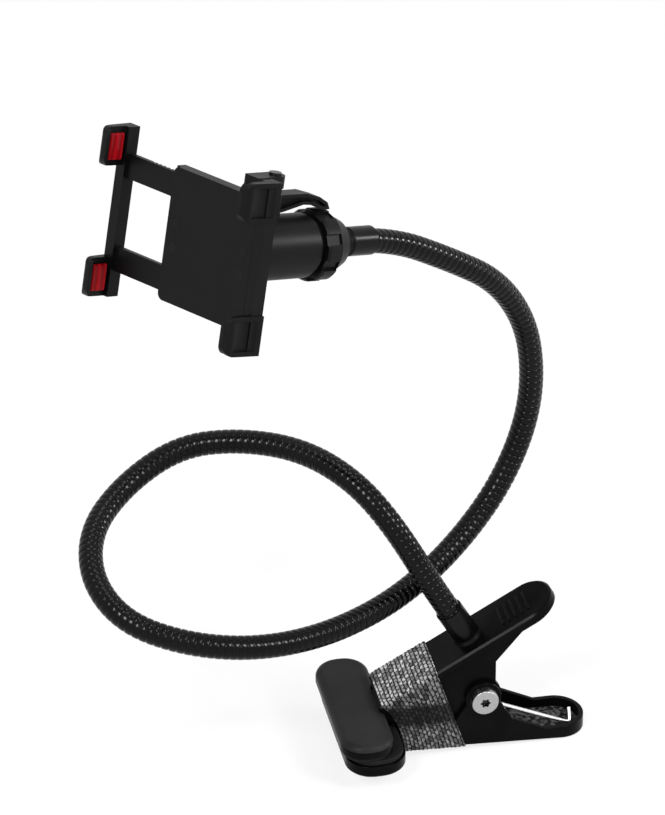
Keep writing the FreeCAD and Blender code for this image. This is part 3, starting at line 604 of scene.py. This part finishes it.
class HOLDER_OT_knit_band(bpy.types.Operator):
    """Knitted elastic band stretched round both levers"""
    bl_idname = "holder.knit_band"
    bl_label = "Knit band"

    def execute(self, context):
        band = context.scene.holder_band
        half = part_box("elastic_band")[1].y
        corner = BAND_CORNER * MM
        slope = math.cos(math.radians(PLATE_SLOPE))
        over = Vector((0, 0, BAND_OVER * MM))
        tops = [on_plate(edge[0] / slope, 0) + over for edge in (BAND_FRONT, BAND_BACK)]
        unders = [over_underside(edge[1], -BAND_UNDER) for edge in (BAND_FRONT, BAND_BACK)]
        tall = (sum(tops, Vector()) - sum(unders, Vector())).z / 2
        around = 4 * (half - corner) + 2 * (tall - 2 * corner) + math.tau * corner
        bm = bmesh.new()
        bm.loops.layers.uv.new("UVMap")
        painted_shade_layer = bm.verts.layers.float.new("painted_shade")
        bmesh.ops.create_grid(bm, x_segments=160, y_segments=90, size=0.5, calc_uvs=True)
        for vert in bm.verts:
            share, width = vert.co.x + 0.5, vert.co.y + 0.5
            across, fall = self.outline(share * around, half, tall, corner)
            fall /= tall
            spot = tops[0].lerp(tops[1], width).lerp(unders[0].lerp(unders[1], width), fall)
            bow = BAND_BOW * MM * (1 - width) * math.sin(math.pi * fall)
            depth = math.sin(math.pi * min(max((spot.z / MM - WAIST_FOOT) / WAIST_TALL, 0), 1)) ** 2
            # Painted shade on the band's sides and at its waist between the levers, kept per point.
            side = max(0, abs(across) / half - SIDE_START) / (1 - SIDE_START)
            vert[painted_shade_layer] = min(DEEPEST_SHADE, SIDE_SHADE * side + WAIST_SHADE * depth ** WAIST_FADE)
            vert.co = (spot.x + bow, -across * (1 - depth * band.drawn_in / half), spot.z)
        bmesh.ops.remove_doubles(bm, verts=bm.verts, dist=0.001 * MM)
        bmesh.ops.recalc_face_normals(bm, faces=bm.faces)
        uv = bm.loops.layers.uv.active
        for vert in bm.verts:
            row = math.tau * band.rows * vert.link_loops[0][uv].uv.y
            wave = vert.co.x / MM + PUCKER_SLANT * vert.co.z / MM
            sink = PUCKER * (1 + math.sin(wave)) + ROW_RELIEF * (1 + math.cos(row))
            vert.co -= vert.normal * sink * MM
        area = sum(face.calc_area() for face in bm.faces)
        bmesh.ops.solidify(bm, geom=bm.faces, thickness=band.thickness)
        mesh = bpy.data.meshes.new("knit_band")
        bm.to_mesh(mesh)
        bm.free()
        knit = heathered_knit("band_knit", band.dark_yarn, band.light_yarn, around, band.width, band.rows)
        piece = show_in_scene("knit_band", mesh, knit)
        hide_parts("elastic_band")
        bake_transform(piece)
        return {"FINISHED"}

    @staticmethod
    def outline(way, half, tall, corner):
        """Place across and down from the middle of the top, a way round a rounded oblong."""
        flat, side, turn = half - corner, tall - 2 * corner, math.pi / 2 * corner
        across = down = heading = 0.0
        for run, bends in ((flat, False), (turn, True), (side, False), (turn, True), (2 * flat, False),
                           (turn, True), (side, False), (turn, True), (flat, False)):
            step = min(way, run)
            if bends:
                angle = heading + step / corner
                across += corner * (math.sin(angle) - math.sin(heading))
                down += corner * (math.cos(heading) - math.cos(angle))
                heading = angle
            else:
                across += step * math.cos(heading)
                down += step * math.sin(heading)
            way -= step
        return across, down


class HOLDER_OT_torsion_spring(bpy.types.Operator):
    """Torsion spring round the pivot screw, with one hooked leg on each lever"""
    bl_idname = "holder.torsion_spring"
    bl_label = "Torsion spring"

    def execute(self, context):
        spring = context.scene.holder_spring
        side = (spring.turns - 1) * spring.wire / 2
        hook, bend = HOOK * MM, HOOK_BEND * MM
        lift = 0.75 * spring.wire / MM + LEG_GAP
        floor = over_underside(LOWER_LEG, FLOOR_THICK + lift)
        roof = on_plate(UPPER_LEG, -PLATE_THICK - lift)
        near, far = Vector((0, -side, 0)), Vector((0, side, 0))
        start, first = self.tangent(floor, spring.coil_radius, -1)
        end, last = self.tangent(roof, spring.coil_radius, 1)
        floor_way = (floor - start).normalized() * bend
        roof_way = (roof - end).normalized() * bend
        points = [floor + near + Vector((0, hook, hook)), floor + near + Vector((0, bend, 0)),
                  floor + near - floor_way, start.lerp(floor, 0.5) + near]
        sweep = (last - first) % math.tau - math.tau * (spring.turns - 1)
        steps = STEPS_PER_TURN * spring.turns
        for index in range(steps + 1):
            share = index / steps
            turn = first + sweep * share
            ring = Vector((math.cos(turn), 0, math.sin(turn))) * spring.coil_radius
            points.append(PIVOT + ring + near.lerp(far, share))
        points += [end.lerp(roof, 0.5) + far, roof + far - roof_way, roof + far - Vector((0, bend, 0)),
                   roof + far - Vector((0, hook, 0))]
        coil = route_curve("torsion_coil", points, spring.wire / 2)
        coil.data.resolution_u = 4
        mesh = mesh_of(coil, "torsion_coil")
        steel = bright_steel("spring_steel", context.scene.holder_finish.steel, wear=0.06)
        piece = show_in_scene("torsion_coil", mesh, steel)
        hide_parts("torsion_spring")
        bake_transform(piece)
        return {"FINISHED"}

    @staticmethod
    def tangent(target, radius, side):
        """Where a straight leg to the target leaves the coil, and that place's bearing."""
        reach = target - PIVOT
        bearing = math.atan2(reach.z, reach.x) + side * math.acos(radius / reach.length)
        return PIVOT + Vector((math.cos(bearing), 0, math.sin(bearing))) * radius, bearing


class HOLDER_OT_pivot_screw(bpy.types.Operator):
    """Pan-headed pivot screw with a six-pointed recess"""
    bl_idname = "holder.pivot_screw"
    bl_label = "Pivot screw"

    def execute(self, context):
        finish = context.scene.holder_finish
        low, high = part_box("pivot_screw")
        head, crown, shank = high.x - PIVOT.x, HEAD_CROWN * MM, SHANK_RADIUS * MM
        seat = low.y + HEAD_TALL * MM
        outline = ((head - crown, low.y), (head - 0.3 * crown, low.y + 0.25 * crown), (head, low.y + crown),
                   (head, seat), (shank, seat), (shank, high.y), (0, high.y))
        bm = bmesh.new()
        line = [bm.verts.new((PIVOT.x, along, PIVOT.z + radius)) for radius, along in outline]
        edges = [bm.edges.new(pair) for pair in zip(line, line[1:])]
        bmesh.ops.spin(bm, geom=line + edges, cent=PIVOT, axis=(0, 1, 0), angle=math.tau, steps=SCREW_SIDES,
                       use_merge=True)
        bmesh.ops.remove_doubles(bm, verts=bm.verts, dist=0.001 * MM)
        rim = [edge for edge in bm.edges if edge.is_boundary]
        centre = Vector((PIVOT.x, low.y, PIVOT.z))
        upright = Matrix.Translation(centre) @ Matrix.Rotation(math.pi / 2, 4, "X")
        star = bmesh.ops.create_circle(
            bm, segments=SCREW_SIDES, radius=finish.recess, matrix=upright)["verts"]
        for vert in star:
            arm = vert.co - centre
            vert.co = centre + arm * (1 + STAR_RELIEF * math.cos(STAR_POINTS * math.atan2(arm.z, arm.x)))
        lip = list({edge for vert in star for edge in vert.link_edges})
        bmesh.ops.bridge_loops(bm, edges=rim + lip)
        wall = bmesh.ops.extrude_edge_only(bm, edges=lip)["geom"]
        floor = [item for item in wall if isinstance(item, bmesh.types.BMVert)]
        bmesh.ops.translate(bm, verts=floor, vec=(0, RECESS_DEPTH * MM, 0))
        open_edges = [edge for edge in bm.edges if edge.is_boundary]
        bottom = bmesh.ops.holes_fill(bm, edges=open_edges, sides=0)["faces"]
        # The recess's walls and floor take the second material, which is painted shade.
        for face in bottom + [item for item in wall if isinstance(item, bmesh.types.BMFace)]:
            face.material_index = 1
        bmesh.ops.recalc_face_normals(bm, faces=bm.faces)
        mesh = bpy.data.meshes.new("star_screw")
        bm.to_mesh(mesh)
        bm.free()
        face_steel = bright_steel("screw_steel", scaled(finish.steel, 0.62), wear=0.12)
        piece = show_in_scene("star_screw", mesh, face_steel)
        # An almost black steel in the recess: painted shade.
        mesh.materials.append(bright_steel("recess_painted_shade", scaled(finish.steel, 0.08)))
        rounding = piece.modifiers.new("Round edges", "BEVEL")
        rounding.width = SCREW_EDGE * MM
        rounding.segments = 2
        rounding.limit_method = "ANGLE"
        rounding.angle_limit = math.radians(40)
        piece.modifiers.new("Even shading", "WEIGHTED_NORMAL")
        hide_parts("pivot_screw")
        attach(piece, "clamp")
        return {"FINISHED"}


class HOLDER_OT_clamp_finish(bpy.types.Operator):
    """Black moulded levers, rubber jaw faces and steel screws of the clamp"""
    bl_idname = "holder.clamp_finish"
    bl_label = "Clamp"

    def execute(self, context):
        finish = context.scene.holder_finish
        plastic = moulded("lever_plastic", finish.plastic, roughness=0.26, shine=0.045)
        matte = moulded("paddle_matte", finish.paddle, roughness=0.4, shine=0.055, grain=1100, bump=0.1)
        soften(plastic, LEVER_EDGE, "upper_lever", accent=matte, chosen=self.on_paddle)
        grain = handle_grain("handle_grain", finish.plastic, shine=0.1)
        soften(plastic, LEVER_EDGE, "lower_lever", accent=grain, chosen=self.on_handle_floor)
        rubber = moulded("jaw_rubber", finish.rubber, roughness=0.6, shine=0.08, grain=700, bump=0.25)
        soften(rubber, JAW_PAD_EDGE, "upper_jaw_pad", "lower_jaw_pad")
        paint(bright_steel("nut_steel", finish.steel), "pivot_nut", "arm_base_screw")
        return {"FINISHED"}

    @staticmethod
    def on_paddle(normal, middle):
        """Whether a face is on top of the upper paddle."""
        return normal.z > 0.3 and middle.x < PADDLE_BACK * MM and middle.z < PADDLE_TOP * MM

    @staticmethod
    def on_handle_floor(normal, middle):
        """Whether a face is on the floor of the lower handle, close above its underside."""
        return normal.z > 0.9 and middle.z < over_underside(middle.x / MM, 2).z


class HOLDER_OT_joint_finish(bpy.types.Operator):
    """Black sleeves, ball and lock ring at the ends of the arm"""
    bl_idname = "holder.joint_finish"
    bl_label = "Arm ends"

    def execute(self, context):
        finish = context.scene.holder_finish
        lacquer = moulded("sleeve_lacquer", finish.plastic, roughness=0.25, shine=0.13, grain=900, bump=0.05)
        paint(lacquer, "arm_base_ferrule", "arm_end_ferrule", "ball_stud", "face_screws")
        ring = moulded("ring_plastic", finish.plastic, roughness=0.42, shine=0.13)
        soften(ring, RING_EDGE, "lock_ring")
        paint(ring, "ball_seat")
        return {"FINISHED"}


class HOLDER_OT_clip_finish(bpy.types.Operator):
    """Satin black clip with red finger pads"""
    bl_idname = "holder.clip_finish"
    bl_label = "Clip"

    def execute(self, context):
        finish = context.scene.holder_finish
        plastic = moulded("clip_plastic", finish.plastic, roughness=0.42, shine=0.11)
        soften(plastic, CLIP_EDGE, "clip_body", "slide_jaw", soft=on_finger)
        soften(plastic, CLIP_EDGE, "face_plate", "release_lever")
        paint(bright_steel("blued_steel", scaled(finish.steel, 0.05)), "lever_pin", "lever_spring")
        pads = [name for name in frame["nodes"] if name.endswith("finger_pad")]
        soften(ribbed_rubber("red_rubber", finish.red, PAD_PITCH * MM), FINGER_PAD_EDGE, *pads)
        return {"FINISHED"}


class HOLDER_OT_stage(bpy.types.Operator):
    """White paper floor, soft studio light and the camera"""
    bl_idname = "holder.stage"
    bl_label = "Stage"

    def execute(self, context):
        scene = context.scene
        scene.view_settings.view_transform = "Standard"
        self.set_camera(scene)
        self.lay_floor()
        self.hang_lamps(scene)
        self.light_world(scene)
        return {"FINISHED"}

    def set_camera(self, scene):
        """The camera at its angle and distance, aimed at the picture's middle."""
        stage = scene.holder_stage
        turn, rise = stage.azimuth, stage.elevation
        back = Vector((math.sin(turn) * math.cos(rise), -math.cos(turn) * math.cos(rise), math.sin(rise)))
        right = Vector((math.cos(turn), math.sin(turn), 0))
        up = back.cross(right)
        aim = right * (PICTURE_RIGHT * MM) + up * (PICTURE_UP * MM)
        data = bpy.data.cameras.new("camera")
        data.lens = data.sensor_width * stage.distance / stage.tall
        data.clip_end = 100
        camera = bpy.data.objects.new("camera", data)
        camera.location = aim + back * stage.distance
        camera.rotation_euler = (-back).to_track_quat("-Z", "Y").to_euler()
        scene.collection.objects.link(camera)
        scene.camera = camera

    def lay_floor(self):
        """White paper just below the holder, partly clear, so that the surroundings show through it."""
        bm = bmesh.new()
        bmesh.ops.create_grid(bm, x_segments=2, y_segments=2, size=PAPER_SIZE)
        bmesh.ops.translate(bm, verts=bm.verts, vec=(0, 0, cad_box[0].z - PAPER_GAP * MM))
        mesh = bpy.data.meshes.new("floor")
        bm.to_mesh(mesh)
        bm.free()
        pale, shader = new_material("floor_paper")
        nodes, links = pale.node_tree.nodes, pale.node_tree.links
        tone = ramp(pale, object_noise(pale, scale=3), (0.93, 0.93, 0.93), (0.95, 0.95, 0.95))
        links.new(tone.outputs["Color"], shader.inputs["Base Color"])
        shader.inputs["Roughness"].default_value = 0.9
        clear = nodes.new("ShaderNodeBsdfTransparent")
        paper = nodes.new("ShaderNodeMixShader")
        links.new(self.seen(pale.node_tree, 0, PAPER_CLEAR).outputs["Result"], paper.inputs["Fac"])
        links.new(shader.outputs["BSDF"], paper.inputs[1])
        links.new(clear.outputs["BSDF"], paper.inputs[2])
        links.new(paper.outputs["Shader"], nodes["Material Output"].inputs["Surface"])
        floor = show_in_scene("floor", mesh, pale)

    def hang_lamps(self, scene):
        """Four soft lamps that face the holder."""
        for name, place, wide, tall, power in LAMPS:
            lamp = bpy.data.lights.new(name, "AREA")
            lamp.shape = "RECTANGLE"
            lamp.size = wide
            lamp.size_y = tall
            lamp.energy = power
            light = bpy.data.objects.new(name, lamp)
            light.location = place
            light.rotation_euler = (Vector(place) - LAMP_AIM).to_track_quat("Z", "Y").to_euler()
            scene.collection.objects.link(light)

    def light_world(self, scene):
        """White surroundings, bright to sight and dimmer as a light."""
        world = bpy.data.worlds.new("studio")
        world.use_nodes = True
        white = world.node_tree.nodes["Background"]
        white.inputs["Color"].default_value = (1, 1, 1, 1)
        sky = self.seen(world.node_tree, SKY_LIGHT, 1)
        world.node_tree.links.new(sky.outputs["Result"], white.inputs["Strength"])
        scene.world = world

    @staticmethod
    def seen(tree, low, high):
        """High for sight, whether direct, in a gloss or through glass, and low for other light."""
        path = tree.nodes.new("ShaderNodeLightPath")
        sight = path.outputs["Is Camera Ray"]
        for other in ("Is Glossy Ray", "Is Transmission Ray"):
            either = tree.nodes.new("ShaderNodeMath")
            either.operation = "MAXIMUM"
            tree.links.new(sight, either.inputs[0])
            tree.links.new(path.outputs[other], either.inputs[1])
            sight = either.outputs["Value"]
        level = tree.nodes.new("ShaderNodeMapRange")
        level.inputs["To Min"].default_value = low
        level.inputs["To Max"].default_value = high
        tree.links.new(sight, level.inputs["Value"])
        return level


class HOLDER_PT_panel(bpy.types.Panel):
    """Sidebar list of the holder's pieces"""
    bl_idname = "HOLDER_PT_panel"
    bl_label = "Bed phone holder"
    bl_space_type = "VIEW_3D"
    bl_region_type = "UI"
    bl_category = "Holder"

    def draw(self, context):
        for operator in OPERATORS:
            self.layout.operator(operator.bl_idname)


SETTINGS = (("holder_arm", ArmSettings), ("holder_band", BandSettings), ("holder_spring", SpringSettings),
            ("holder_finish", FinishSettings), ("holder_stage", StageSettings))
OPERATORS = (HOLDER_OT_stage, HOLDER_OT_ribbed_arm, HOLDER_OT_knit_band, HOLDER_OT_torsion_spring,
             HOLDER_OT_pivot_screw, HOLDER_OT_clamp_finish, HOLDER_OT_joint_finish, HOLDER_OT_clip_finish)


def register():
    for name, group in SETTINGS:
        bpy.utils.register_class(group)
        setattr(bpy.types.Scene, name, bpy.props.PointerProperty(type=group))
    for operator in OPERATORS:
        bpy.utils.register_class(operator)
    bpy.utils.register_class(HOLDER_PT_panel)


def unregister():
    bpy.utils.unregister_class(HOLDER_PT_panel)
    for operator in reversed(OPERATORS):
        bpy.utils.unregister_class(operator)
    for name, group in reversed(SETTINGS):
        delattr(bpy.types.Scene, name)
        bpy.utils.unregister_class(group)


def main():
    register()
    bpy.ops.holder.stage()
    bpy.ops.holder.ribbed_arm()
    bpy.ops.holder.knit_band()
    bpy.ops.holder.torsion_spring()
    bpy.ops.holder.pivot_screw()
    bpy.ops.holder.clamp_finish()
    bpy.ops.holder.joint_finish()
    bpy.ops.holder.clip_finish()


if __name__ == "__main__":
    main()
